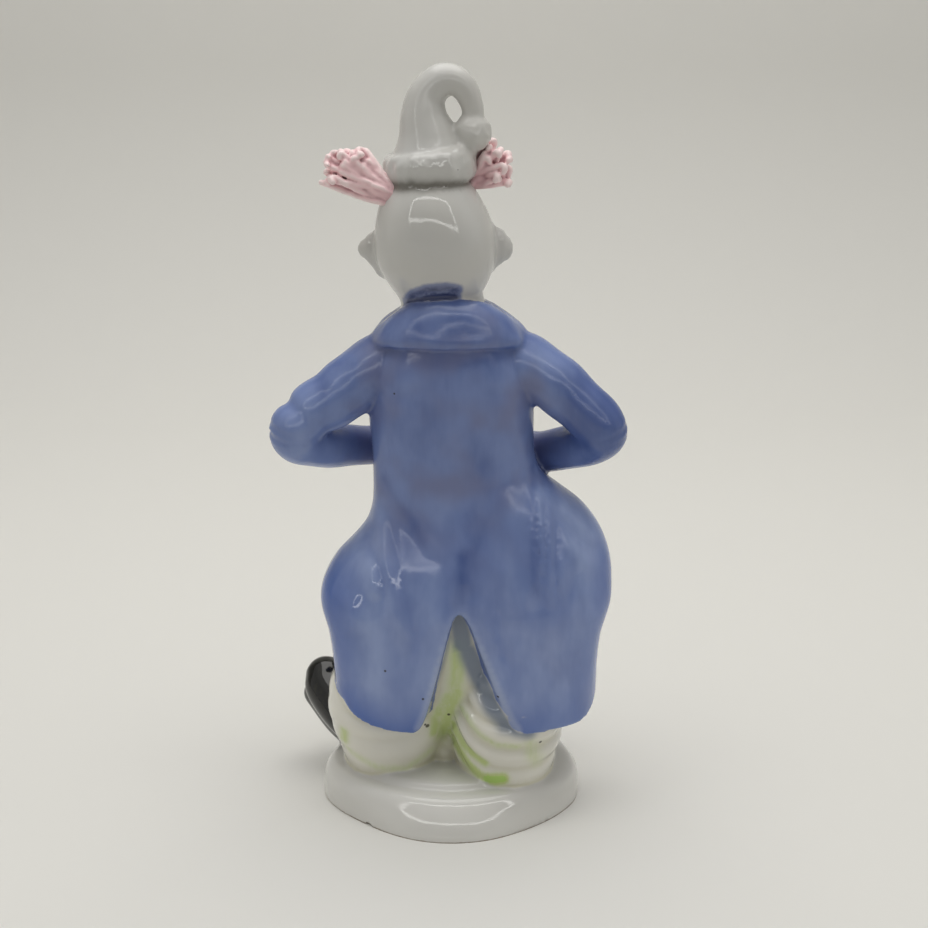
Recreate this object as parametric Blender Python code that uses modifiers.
"""A glazed porcelain clown in a tailcoat, standing on a small round base.

The clown faces -Y, so +X is his left hand. The origin is at the middle of the base's
underside. The body was cast as one, so its forms are modelled one by one, fused, and
softened as the glaze softens them. Only the two bundles of clay hair are separate.
"""

import math

import bmesh
import bpy
from mathutils import Euler, Matrix, Vector

# Driving dimensions, in metres.
figure_height = 0.1605  # from the top of the base to the top of the hat
base_width = 0.0604
base_depth = 0.0550
base_thickness = 0.0095
base_edge_radius = 0.0024
strand_diameter = 0.0017
hair_gap = 0.0004  # between the clay hair and the glazed head

# The figure's own places and radii are written in this share of its height, so that each
# number is a millimetre at the real size, and each height starts at the top of the base.
share = figure_height / 160.5

# The finest form that the glaze leaves open, and the triangles that each casting gets.
body_grain = figure_height / 210
hair_grain = strand_diameter / 3.4
body_triangles = 8150
tuft_triangles = 760

# Places that several forms share.
head_middle = (3.6, -0.4, 121.5)
hat_lean = math.radians(8.6)  # the brim dips to the clown's left
brim_middle = (4.6, -0.2, 138.6)
vent_top = (-1.7, 43.6)  # across and height of the point where the tails part
coat_hem = 14.6
collar_middle = 0.4
front_opening_top = 63.0

porcelain = (0.78, 0.78, 0.76, 1.0)
blue_glaze = (0.20, 0.27, 0.50, 1.0)
pink_clay = (0.75, 0.47, 0.50, 1.0)


def place(across, back, height):
    """A point of the figure, from shares to metres."""
    return Vector((across, back, height)) * share + Vector((0, 0, base_thickness))


def material(name, colour, roughness):
    made = bpy.data.materials.new(name)
    made.use_nodes = True
    shader = made.node_tree.nodes["Principled BSDF"]
    shader.inputs["Base Color"].default_value = colour
    shader.inputs["Roughness"].default_value = roughness
    shader.inputs["Metallic"].default_value = 0.0
    return made


def eased(rows, at):
    """The row at a height between rows that start with their heights, on a smooth curve."""
    rows = sorted(rows)
    at = min(max(at, rows[0][0]), rows[-1][0])
    i = max(k for k in range(len(rows) - 1) if rows[k][0] <= at)
    low, high = rows[i], rows[i + 1]
    before, after = rows[max(i - 1, 0)], rows[min(i + 2, len(rows) - 1)]
    span = high[0] - low[0]
    t = (at - low[0]) / span
    values = []
    for a, b, c, d in zip(before[1:], low[1:], high[1:], after[1:]):
        start = (c - a) * span / (high[0] - before[0])
        end = (d - b) * span / (after[0] - low[0])
        values.append(
            b * (2 * t**3 - 3 * t**2 + 1)
            + start * (t**3 - 2 * t**2 + t)
            + c * (3 * t**2 - 2 * t**3)
            + end * (t**3 - t**2)
        )
    return values


def ramp(value, low, high):
    """0 at low, 1 at high, and smooth between."""
    t = min(max((value - low) / (high - low), 0.0), 1.0)
    return t * t * (3 - 2 * t)


def bump(distance, width):
    return math.exp(-((distance / width) ** 2))


def rounded(angle, half_across, back, front, squareness=2.0):
    """A point of a level outline: an ellipse with its own depth behind and in front."""
    c, s = math.cos(angle), math.sin(angle)
    power = 2 / squareness
    depth = back if s > 0 else -front
    return (
        half_across * math.copysign(abs(c) ** power, c),
        depth * math.copysign(abs(s) ** power, s),
    )


def keep(name, bm):
    bmesh.ops.recalc_face_normals(bm, faces=bm.faces)
    mesh = bpy.data.meshes.new(name)
    bm.to_mesh(mesh)
    bm.free()
    made = bpy.data.objects.new(name, mesh)
    bpy.context.scene.collection.objects.link(made)
    return made


def ringed(name, columns, levels, point):
    """A closed form through rings of points, with a fan of faces over each end."""
    bm = bmesh.new()
    rings = [[bm.verts.new(point(i, j)) for i in range(columns)] for j in range(levels)]
    for lower, upper in zip(rings, rings[1:]):
        for i in range(columns):
            k = (i + 1) % columns
            bm.faces.new((lower[i], lower[k], upper[k], upper[i]))
    for ring in (rings[0], rings[-1]):
        middle = sum((v.co for v in ring), Vector()) / columns
        hub = bm.verts.new(middle)
        for i in range(columns):
            bm.faces.new((hub, ring[i], ring[(i + 1) % columns]))
    return keep(name, bm)


def ball(name, middle, radii, turn=(0, 0, 0)):
    bm = bmesh.new()
    size = Matrix.Diagonal((*radii, 1.0))
    turned = Euler([math.radians(a) for a in turn]).to_matrix().to_4x4()
    bmesh.ops.create_uvsphere(
        bm, u_segments=32, v_segments=20, radius=share, matrix=turned @ size
    )
    bmesh.ops.translate(bm, verts=bm.verts, vec=place(*middle))
    return keep(name, bm)


def smooth_path(stations, steps):
    """Stations of place and radius, with more set between them on a smooth curve."""
    rows = [(i, *station) for i, station in enumerate(stations)]
    count = (len(stations) - 1) * steps
    return [eased(rows, i / steps) for i in range(count + 1)]


def tube(name, stations, steps=6, sides=4):
    """A round limb through stations of across, back, height and radius."""
    path = smooth_path(stations, steps)
    curve = bpy.data.curves.new(name, "CURVE")
    curve.dimensions = "3D"
    curve.bevel_depth = share
    curve.bevel_resolution = sides
    curve.use_fill_caps = True
    spline = curve.splines.new("POLY")
    spline.points.add(len(path) - 1)
    for point, (across, back, height, radius) in zip(spline.points, path):
        point.co = (*place(across, back, height), 1.0)
        point.radius = radius
    guide = bpy.data.objects.new(name, curve)
    bpy.context.scene.collection.objects.link(guide)
    bpy.context.view_layer.update()
    graph = bpy.context.evaluated_depsgraph_get()
    mesh = bpy.data.meshes.new_from_object(guide.evaluated_get(graph))
    bpy.data.objects.remove(guide)
    bm = bmesh.new()
    bm.from_mesh(mesh)
    bmesh.ops.remove_doubles(bm, verts=bm.verts, dist=share * 0.001)
    return keep(name, bm)


def limb(name, stations, steps=6):
    """A tube with a ball on each end."""
    ends = [ball(name + "_end", s[:3], [s[3]] * 3) for s in (stations[0], stations[-1])]
    return [tube(name, stations, steps), *ends]


def joined(name, pieces):
    """The pieces' meshes as one object, each still a body of its own."""
    bm = bmesh.new()
    for piece in pieces:
        bm.from_mesh(piece.data)
        bpy.data.objects.remove(piece)
    return keep(name, bm)


def evaluated(shape):
    """The shape with its modifiers applied, in its own place."""
    bpy.context.view_layer.update()
    graph = bpy.context.evaluated_depsgraph_get()
    mesh = bpy.data.meshes.new_from_object(shape.evaluated_get(graph))
    shape.modifiers.clear()
    shape.data = mesh
    return shape


def fused(name, pieces, grain, softening):
    """The pieces as one body with soft creases, as a cast form is under its glaze."""
    shape = joined(name, pieces)
    remesh = shape.modifiers.new("fuse", "REMESH")
    remesh.mode = "VOXEL"
    remesh.voxel_size = grain
    smooth = shape.modifiers.new("glaze", "SMOOTH")
    smooth.factor = 0.5
    smooth.iterations = softening
    return evaluated(shape)


def thinned(shape, triangles):
    """The same form with fewer triangles."""
    shape.data.calc_loop_triangles()
    thin = shape.modifiers.new("thin", "DECIMATE")
    thin.ratio = min(1.0, triangles / len(shape.data.loop_triangles))
    return evaluated(shape)


def base():
    """A low slab with soft edges and a low step, trimmed by hand to no exact ellipse."""
    below = 0.004  # it reaches under the ground, where the finished casting is cut flat
    edge = min(base_edge_radius, base_thickness * 0.45)
    quarter = [math.radians(15 * k) for k in range(7)]
    profile = [(-below, 0.0), (0.0, 0.0)]  # height, and how far in from the widest line
    profile += [
        (base_thickness - edge + edge * math.sin(a), edge * (1 - math.cos(a)))
        for a in quarter
    ]
    profile += [
        (base_thickness + 0.0001, base_width * 0.085),
        (base_thickness + 0.0011, base_width * 0.120),
        (base_thickness + 0.0014, base_width * 0.250),
    ]
    columns = 96

    def point(i, j):
        angle = math.tau * i / columns
        height, inset = profile[j]
        # Its foot is trimmed closer than its top, most between the back and the sides.
        trim = 0.066 - 0.038 * ramp(height, 0, base_thickness)
        wobble = 1 - trim * math.sin(2 * angle) ** 2 * ramp(math.sin(angle), -0.6, 0.4)
        wobble += 0.006 * math.sin(3 * angle + 0.7) + 0.004 * math.sin(5 * angle + 2.1)
        return Vector(
            (
                (base_width / 2 - inset) * wobble * math.cos(angle),
                (base_depth / 2 - inset) * wobble * math.sin(angle),
                height,
            )
        )

    return ringed("base", columns, len(profile), point)


def trousers():
    """Baggy legs that sag onto the base, with pleats that run down from the seat."""
    hips = [  # height, left, right, back, front
        (4.0, 10.0, -9.0, 4.0, -6.0),
        (12.0, 15.0, -14.0, 10.0, -10.0),
        (22.0, 25.0, -25.0, 14.6, -14.5),
        (32.0, 24.5, -26.5, 15.4, -15.0),
        (44.0, 20.0, -23.0, 14.2, -14.2),
        (58.0, 16.0, -18.0, 11.0, -12.8),
        (68.0, 14.0, -15.0, 9.0, -11.0),
    ]
    columns, levels = 72, 33

    def hip_point(i, j):
        angle = math.tau * i / columns
        height = hips[0][0] + (hips[-1][0] - hips[0][0]) * j / (levels - 1)
        left, right, back, front = eased(hips, height)
        x, y = rounded(angle, (left - right) / 2, back, front, 2.2)
        return place((left + right) / 2 + x, y, height)

    def leg(name, middle, reach, foot, pleats):
        rows = [  # height, and the shares of the leg's reach across and in depth
            (-1.5, foot[0] - 0.05, foot[1] - 0.06),
            (0.5, foot[0], foot[1]),
            (5.0, 0.55 * foot[0] + 0.45, 0.5 * foot[1] + 0.5),
            (8.5, 0.20 * foot[0] + 0.80, 0.97),
            (12.0, 1.0, 1.0),
            (16.0, 1.0, 0.99),
            (20.5, 0.93, 0.93),
            (27.0, 0.78, 0.80),
            (31.0, 0.50, 0.50),
        ]
        bands = 41

        def leg_point(i, j):
            angle = math.tau * i / columns
            height = rows[0][0] + (rows[-1][0] - rows[0][0]) * j / (bands - 1)
            wide, deep = eased(rows, height)
            x, y = rounded(angle, reach[0] * wide, reach[1] * deep, -13.5 * deep, 2.2)
            # Pleats hang in curves from the seat, which is on the body's middle line.
            drape = height + 0.55 * abs(middle[0] + x) - 0.012 * x * x
            fold = pleats * math.sin(drape * math.tau / 5.4) * ramp(height, 0.5, 5)
            grow = 1 + fold / max(math.hypot(x, y), 4)
            return place(middle[0] + x * grow, middle[1] + y * grow, height)

        return ringed(name, columns, bands, leg_point)

    return [
        ringed("hips", columns, levels, hip_point),
        leg("left_leg", (14.2, -1.2), (15.0, 15.8), (0.72, 0.79), 0.10),
        leg("right_leg", (-12.4, 2.0), (13.8, 17.6), (0.84, 0.90), 0.42),
    ]


def shoes():
    """Round-toed shoes: the left one is up on its heel, the right one is flat."""
    left = [(19, -2, 3.6, 5.0), (25.6, -9, 5.4, 5.2), (30.4, -16, 9.2, 5.5), (31.2, -18.4, 11.4, 5.2)]
    right = [(-14, -8, 4.0, 5.2), (-16, -15, 4.2, 5.2), (-17.4, -21.0, 4.8, 5.8)]
    return limb("left_shoe", left) + limb("right_shoe", right)


def coat_row(height):
    """Left, right, back and front reach of the coat at a height."""
    return eased(
        [
            (12.0, 26.6, -33.2, 20.4, -17.0),
            (18.5, 27.2, -33.7, 20.0, -17.0),
            (25.5, 27.7, -33.9, 19.2, -17.0),
            (32.5, 28.6, -34.7, 18.2, -16.6),
            (39.5, 30.3, -36.7, 17.0, -16.0),
            (44.5, 29.6, -36.9, 16.0, -15.6),
            (50.0, 26.6, -36.4, 14.9, -15.2),
            (54.5, 22.4, -35.0, 13.8, -14.6),
            (58.5, 19.4, -32.9, 12.9, -14.4),
            (62.5, 18.1, -29.6, 12.3, -14.3),
            (66.0, 17.8, -25.0, 12.0, -14.3),
            (69.5, 17.8, -20.6, 11.9, -14.3),
            (75.0, 17.9, -18.8, 12.1, -14.3),
            (84.0, 18.6, -18.5, 12.8, -13.8),
            (92.0, 18.9, -18.4, 13.1, -12.8),
            (98.0, 17.2, -16.6, 12.8, -11.6),
            (103.0, 13.2, -13.4, 11.8, -10.6),
            (106.5, 10.0, -10.6, 10.2, -9.4),
            (109.0, 8.0, -8.0, 8.4, -8.0),
        ],
        height,
    )


# Folds on the back of the coat, from across and height at the top to across and height at
# the bottom, then how far each stands out (or sinks in, if negative) and how wide it is.
coat_folds = [
    ((18.2, 66.0), (11.0, 34.0), -2.0, 2.0),
    ((15.2, 68.0), (6.5, 30.0), 1.0, 2.0),
    ((11.5, 62.0), (1.5, 44.0), -0.9, 1.7),
    ((22.5, 54.0), (19.5, 22.0), 0.9, 3.2),
    ((-16.6, 76.0), (-17.6, 36.0), 1.5, 1.2),
    ((-19.6, 73.0), (-20.8, 34.0), -2.0, 1.5),
    ((-22.8, 66.0), (-25.4, 34.0), 1.1, 1.5),
    ((-25.8, 60.0), (-30.6, 38.0), -1.0, 1.5),
    ((-13.4, 64.0), (-12.0, 26.0), -0.9, 1.9),
    ((-2.2, 62.0), (-1.7, 40.0), -1.0, 2.6),
    ((-6.0, 52.0), (-10.0, 18.0), 0.7, 2.4),
    ((3.4, 52.0), (7.5, 18.0), 0.7, 2.4),
]


def fold_height(x, height):
    total = 0.0
    for (x_top, top), (x_low, low), rise, width in coat_folds:
        t = (top - height) / (top - low)
        if 0 < t < 1:
            line = x_top + (x_low - x_top) * t
            total += rise * bump(x - line, width) * math.sin(math.pi * t) ** 0.6
    return total


def hem_height(x, y):
    """The height of the coat's lower edge above a place."""
    if y > 0:
        slope = 0.33 if x > vent_top[0] else 0.45
        tail = vent_top[1] - abs(x - vent_top[0]) / slope
        corner = 3.0 * ramp(abs(x + 2), 22, 33)
        return max(coat_hem + corner * ramp(y, 14, 4), tail)
    # In front, the coat is cut away in a curve from the waist to the sides.
    spread = min(abs(x - 0.5) / 27, 1.0)
    return coat_hem + 3.0 + (front_opening_top - coat_hem) * (1 - spread**1.25) * ramp(-y, 0, 7)


def chest_relief(x, height):
    """Shirt front, sunk between two raised lapels that meet at the waist."""
    edge = 0.30 * (height - front_opening_top + 2)
    off = abs(x - 1.0) - edge
    inside = 1 - ramp(off, -1.0, 0.0)
    lapel = bump(off - 2.6, 2.4) * ramp(height, front_opening_top - 4, front_opening_top + 8)
    return 1.3 * lapel - 1.0 * inside * ramp(height, front_opening_top, front_opening_top + 4)


def coat():
    """The tailcoat: a flared skirt, parted behind and cut away in front."""
    columns, levels = 168, 72
    top = 109.0
    inner_rings = 3

    def surface(angle, height):
        left, right, back, front = coat_row(height)
        square = 2.2 + 0.5 * ramp(height, 62, 30)
        x, y = rounded(angle, (left - right) / 2, back, front, square)
        x += (left + right) / 2
        if y > 0:
            shift = fold_height(x, height) * ramp(y, 0, 5)
        else:
            shift = chest_relief(x, height) * ramp(-y, 3, 8)
        return x, y + math.copysign(shift, y)

    hems = []
    for i in range(columns):
        angle = math.tau * i / columns
        hem = coat_hem
        for _ in range(6):
            hem = hem_height(*surface(angle, hem))
        hems.append(hem)

    def point(i, j):
        angle = math.tau * i / columns
        if j >= inner_rings:
            t = (j - inner_rings) / (levels - 1)
            height = hems[i] + (top - hems[i]) * t
            return place(*surface(angle, height), height)
        # The underside of the hem runs in to the trousers.
        inward = (0.50, 0.74, 0.92)[j]
        x, y = surface(angle, hems[i])
        lift = (2.5, 1.2, 0.1)[j]
        return place(x * inward, y * inward, hems[i] + lift)

    return ringed("coat", columns, levels + inner_rings, point)


def collar():
    """A deep collar that lies round the neck and down on the shoulders."""
    profile = [  # height, half width, back, front
        (106.8, 7.4, 6.8, -6.4),
        (108.2, 8.4, 8.4, -8.0),
        (108.2, 9.8, 9.8, -9.4),
        (107.2, 11.4, 11.2, -10.8),
        (105.9, 13.4, 12.4, -11.8),
        (104.4, 15.2, 13.2, -12.6),
        (102.8, 16.6, 13.8, -13.2),
        (101.2, 17.4, 14.0, -13.6),
        (100.0, 17.0, 13.6, -13.3),
        (99.4, 15.0, 12.2, -11.8),
        (101.0, 8.0, 6.0, -6.0),
    ]
    columns = 72

    def point(i, j):
        angle = math.tau * i / columns
        height, half, back, front = profile[j]
        x, y = rounded(angle, half, back, front, 2.3)
        low = ramp(-height, -108, -101)
        nape = 2.4 * (1 - low) * ramp(y, 1, 9)
        droop = low * (1.2 * ramp(-y, 4, 13) - 1.2 * ramp(y, 3, 13))
        return place(collar_middle + x, y, height + nape - droop)

    return ringed("collar", columns, len(profile), point)


def arms():
    """Elbows out, forearms brought round to the front of the waist."""
    left = [
        (13.0, 0.5, 96.0, 7.5),
        (19.5, 1.2, 92.2, 7.2),
        (25.8, 2.2, 87.8, 6.7),
        (31.6, 3.4, 84.4, 6.1),
        (34.9, 4.2, 80.0, 5.9),
        (31.2, 0.0, 76.4, 5.4),
        (23.4, -8.0, 73.6, 4.8),
        (14.0, -15.4, 72.2, 4.4),
    ]
    right = [
        (-10.5, 0.5, 96.2, 7.6),
        (-17.0, 1.2, 94.4, 7.2),
        (-23.2, 2.2, 90.8, 6.6),
        (-29.2, 3.4, 85.6, 6.0),
        (-33.7, 4.2, 80.6, 5.8),
        (-30.4, 0.0, 76.6, 5.4),
        (-22.4, -8.0, 72.4, 4.7),
        (-13.0, -15.6, 71.0, 4.3),
    ]
    cuffs = [
        tube("left_cuff", [(14.6, -14.8, 72.3, 5.2), (11.2, -17.2, 72.0, 5.4)], 2),
        tube("right_cuff", [(-13.6, -15.0, 71.8, 5.2), (-10.2, -17.4, 71.9, 5.4)], 2),
    ]
    return limb("left_arm", left) + limb("right_arm", right) + cuffs


def hands():
    """Gloved hands folded in front of the waist, the left one on top."""
    palms = [
        ball("left_palm", (6.2, -18.6, 72.0), (5.2, 3.2, 4.0), (0, 8, -14)),
        ball("right_palm", (-5.4, -18.4, 71.8), (5.2, 3.2, 3.9), (0, -8, 14)),
    ]
    fingers = []
    for i in range(4):
        height = 74.8 - 2.15 * i
        reach = (0.0, 0.8, 0.6, -0.6)[i]
        knuckle = (4.2, -20.6, height, 1.35)
        middle = (0.0, -22.0, height - 0.3, 1.3)
        tip = (-4.6 - reach, -21.2, height - 0.9, 1.15)
        fingers += limb(f"finger_{i}", [knuckle, middle, tip], 4)
    thumbs = limb("left_thumb", [(5.6, -19.0, 75.4, 1.5), (2.2, -19.8, 76.8, 1.3)], 4)
    thumbs += limb("right_thumb", [(-5.2, -18.8, 75.2, 1.5), (-1.8, -19.6, 76.6, 1.3)], 4)
    return palms + fingers + thumbs


def shirt_front():
    """A big bow tie and three round buttons."""
    middle = Vector((1.6, -13.6, 103.0))
    pieces = [ball("tie_knot", middle, (2.1, 1.9, 2.1))]
    for side in (-1, 1):
        for reach, tall in ((3.0, 1.8), (5.0, 2.7), (7.0, 3.5)):
            wing = middle + Vector((reach * side, 0.09 * reach, 0.0))
            pieces.append(ball("tie_wing", wing, (2.0, 1.4, tall), (0, 0, 8 * side)))
    for height in (97.0, 90.2, 83.4):
        pieces.append(ball("button", (1.1, -12.7 - 0.04 * (97 - height), height), (1.6, 1.3, 1.6)))
    return pieces


def head():
    """A bald head with a rounded jaw, ears that stand out, and a plain smiling face."""
    rows = [  # height, middle across, half width, back, front
        (108.0, 2.4, 8.4, 7.6, -7.6),
        (110.0, 2.7, 8.9, 8.2, -9.4),
        (113.0, 2.9, 10.8, 10.2, -12.2),
        (117.0, 3.3, 12.7, 12.2, -13.6),
        (121.5, 3.5, 13.3, 13.2, -14.2),
        (126.5, 3.8, 12.7, 13.0, -13.8),
        (131.5, 4.6, 10.9, 11.8, -12.2),
        (135.5, 5.0, 8.5, 9.4, -9.6),
        (139.5, 4.8, 5.0, 5.6, -5.8),
    ]
    columns, levels = 96, 56
    eye_height, eye_spread = 124.2, 4.7

    def relief(x, height):
        """How far the face stands out of the head's plain oval."""
        off = x - head_middle[0]
        socket = bump(abs(off) - eye_spread, 2.4) * bump(height - eye_height, 2.2)
        lid = bump(abs(off) - eye_spread, 1.6) * bump(height - eye_height + 0.2, 1.3)
        brow = bump(abs(off) - eye_spread, 3.0) * bump(height - 128.2, 1.3)
        chin = bump(off, 3.4) * bump(height - 110.0, 1.6)
        return 1.4 * lid + 0.8 * brow + 0.9 * chin - 2.3 * socket

    def point(i, j):
        angle = math.tau * i / columns
        height = rows[0][0] + (rows[-1][0] - rows[0][0]) * j / (levels - 1)
        middle, half, back, front = eased(rows, height)
        x, y = rounded(angle, half, back, front, 2.1)
        if y < 0:
            y -= relief(middle + x, height) * ramp(-y, 4, 9)
        return place(middle + x, y, height)

    x = head_middle[0]
    neck = tube("neck", [(1.4, 0.2, 100.0, 9.4), (1.7, 0.2, 106.0, 9.2), (2.4, 0.2, 113.0, 9.2)])
    # Each ear tapers to a blunt point: a root in the head, a middle and a tip.
    ears = [
        ball("left_ear_root", (14.4, -1.2, 120.2), (3.6, 2.4, 5.8)),
        ball("left_ear", (16.8, -1.5, 120.3), (2.6, 1.9, 3.9), (0, 8, 18)),
        ball("left_ear_tip", (18.7, -1.8, 120.4), (2.0, 1.4, 2.2), (0, 0, 18)),
        ball("right_ear_root", (-7.4, -1.2, 120.9), (3.6, 2.4, 5.8)),
        ball("right_ear", (-9.8, -1.5, 120.8), (2.8, 1.9, 4.4), (0, -8, -18)),
        ball("right_ear_tip", (-11.7, -1.8, 120.6), (2.0, 1.4, 2.9), (0, 0, -18)),
    ]
    face = [ball("nose", (x, -16.0, 119.6), (3.1, 3.0, 3.0))]
    for side in (-1, 1):
        face.append(ball("cheek", (x + 7.2 * side, -10.6, 118.0), (3.1, 2.4, 2.8)))
    smile = [(x - 4.4, -11.7, 114.3), (x - 2.4, -12.5, 113.0), (x, -12.8, 112.6)]
    smile += [(x + 2.4, -12.5, 113.0), (x + 4.4, -11.7, 114.3)]
    face.append(tube("mouth", [(*p, 0.9) for p in smile], 4))
    return [ringed("skull", columns, levels, point), neck, *ears, *face]


def hat():
    """A soft cone with a rolled brim, whose tip curls over and ends in a bobble."""
    cone = [
        (4.6, -0.3, 137.5, 8.0),
        (4.7, -0.3, 141.4, 7.9),
        (5.1, -0.3, 145.2, 6.4),
        (5.8, -0.3, 149.8, 5.0),
        (4.9, -0.2, 153.9, 4.1),
        (1.6, 0.0, 156.9, 3.6),
        (-2.2, 0.3, 155.9, 3.1),
        (-4.4, 0.5, 152.0, 2.5),
        (-4.9, 0.6, 148.4, 2.3),
    ]
    profile = [(-3.9, 7.0), (-3.5, 8.9), (-2.0, 9.9), (0.2, 10.1), (2.0, 9.8), (3.1, 8.9), (3.4, 7.0)]
    columns = 72
    tilt = Matrix.Rotation(hat_lean, 3, "Y")

    def point(i, j):
        angle = math.tau * i / columns
        height, radius = profile[j]
        ragged = 1 + 0.012 * math.sin(7 * angle) + 0.010 * math.sin(11 * angle + 1.3)
        ring = Vector((radius * math.cos(angle), radius * math.sin(angle), height / ragged))
        ring.xy *= ragged
        return place(*(Vector(brim_middle) + tilt @ ring))

    bobble = ball("bobble", (-4.6, 0.6, 145.8), (4.1, 3.9, 4.1))
    return [*limb("cone", cone), ringed("brim", columns, len(profile), point), bobble]


def strands(name, root, tips):
    """Clay strands that leave the head together, fan out and curl over at their ends."""
    radius = strand_diameter / share / 2
    pieces = []
    for i, tip in enumerate(tips):
        spin = 2.4 * i  # each strand takes its own place in the bundle
        offset = Vector((0.4 * math.cos(spin), 1.4 * math.cos(spin), 1.0 * math.sin(spin)))
        start = Vector(root) + offset
        end = Vector(tip)
        along = (end - start).normalized()
        across = along.cross(Vector((math.cos(spin), math.sin(spin), 0.4))).normalized()
        middle = start.lerp(end, 0.55) + offset * 0.35
        curl = end + along * 0.5 + across * 1.5
        back = end - along * 1.6 + across * 1.9
        path = [(*p, radius) for p in (start, middle, end, curl, back)]
        pieces += limb(f"{name}_{i}", path, 4)
    return pieces


def hair(name, root, tips, head_shape):
    """One bundle of strands as one piece, cut back so that it just clears the head."""
    bundle = fused(name, strands(name, root, tips), hair_grain, 2)
    bundle = thinned(bundle, tuft_triangles)
    cut = bundle.modifiers.new("head", "BOOLEAN")
    cut.operation = "DIFFERENCE"
    cut.solver = "EXACT"
    cut.use_self = True  # the grown head folds into itself where the brim meets it
    cut.object = head_shape
    bundle = evaluated(bundle)
    bm = bmesh.new()
    bm.from_mesh(bundle.data)
    islands = islands_of(bm)
    spare = [v for island in islands if island is not max(islands, key=len) for v in island]
    bmesh.ops.delete(bm, geom=spare, context="VERTS")
    bmesh.ops.triangulate(bm, faces=bm.faces)
    bm.to_mesh(bundle.data)
    bm.free()
    return bundle


def islands_of(bm):
    """Lists of the vertices that hang together."""
    left = set(bm.verts)
    islands = []
    while left:
        grown, edge = set(), [left.pop()]
        while edge:
            vertex = edge.pop()
            grown.add(vertex)
            near = {e.other_vert(vertex) for e in vertex.link_edges} & left
            left -= near
            edge.extend(near)
        islands.append(list(grown))
    return islands


def head_clearance():
    """The head and hat grown by the hair's gap, to cut the hair with."""
    shape = fused("head_clearance", head() + hat(), body_grain, 1)
    thinned(shape, 5000)
    grow = shape.modifiers.new("gap", "DISPLACE")
    grow.mid_level = 0.0
    grow.strength = hair_gap
    evaluated(shape)
    shape.hide_render = True
    shape.display_type = "WIRE"
    return shape


def cut_flat(shape):
    """Everything under the ground is cut off, and the cut is closed by one flat face."""
    bm = bmesh.new()
    bm.from_mesh(shape.data)
    everything = [*bm.verts, *bm.edges, *bm.faces]
    bmesh.ops.bisect_plane(
        bm, geom=everything, plane_co=(0, 0, 0), plane_no=(0, 0, 1), clear_inner=True
    )
    rim = [e for e in bm.edges if e.is_boundary]
    bmesh.ops.contextual_create(bm, geom=rim)
    bmesh.ops.recalc_face_normals(bm, faces=bm.faces)
    bm.to_mesh(shape.data)
    bm.free()


def casting():
    pieces = [base(), *trousers(), *shoes(), coat(), collar(), *arms(), *hands()]
    pieces += [*shirt_front(), *head(), *hat()]
    body = fused("clown_figure", pieces, body_grain, 3)
    body = thinned(body, body_triangles)
    cut_flat(body)
    return body


def finish(shape, finish_material, into):
    shape.data.materials.clear()
    shape.data.materials.append(finish_material)
    shape.data.shade_smooth()
    shape.data.set_sharp_from_angle(angle=math.radians(50))
    for collection in shape.users_collection:
        collection.objects.unlink(shape)
    into.objects.link(shape)


def main():
    for old in list(bpy.data.objects):
        bpy.data.objects.remove(old)
    clown = bpy.data.collections.new("clown_figurine")
    helpers = bpy.data.collections.new("cutters")
    for collection in (clown, helpers):
        bpy.context.scene.collection.children.link(collection)

    body = casting()
    cutter = head_clearance()
    left_root = (12.8, 4.6, 132.2)
    left_tips = [
        (27.4, 2.0, 134.9),
        (26.9, -0.4, 136.8),
        (26.3, 2.6, 138.5),
        (25.6, 0.6, 140.1),
        (24.0, 2.8, 141.0),
        (22.2, 0.2, 141.4),
        (20.4, 2.6, 141.6),
        (18.4, 1.2, 141.4),
        (16.8, 2.8, 139.8),
        (24.4, 4.0, 137.2),
        (24.0, -1.8, 138.0),
        (21.6, 3.8, 138.8),
        (20.8, -1.2, 139.2),
        (24.6, 1.4, 135.6),
    ]
    right_root = (-5.2, -1.4, 135.0)
    right_tips = [
        (-12.2, -1.0, 134.8),
        (-12.4, -3.0, 136.6),
        (-12.2, 0.2, 138.4),
        (-12.4, -2.2, 140.6),
        (-11.0, 0.6, 141.8),
        (-9.6, -3.4, 142.6),
        (-8.2, -0.8, 142.9),
        (-10.0, 0.8, 136.2),
        (-10.6, -4.6, 138.8),
        (-8.0, 1.2, 140.2),
    ]
    left_tuft = hair("hair_tuft_left", left_root, left_tips, cutter)
    right_tuft = hair("hair_tuft_right", right_root, right_tips, cutter)

    finish(body, material("glazed_porcelain", porcelain, 0.12), clown)
    clay = material("pink_clay", pink_clay, 0.55)
    finish(left_tuft, clay, clown)
    finish(right_tuft, clay, clown)
    finish(cutter, material("clearance", blue_glaze, 0.5), helpers)


main()
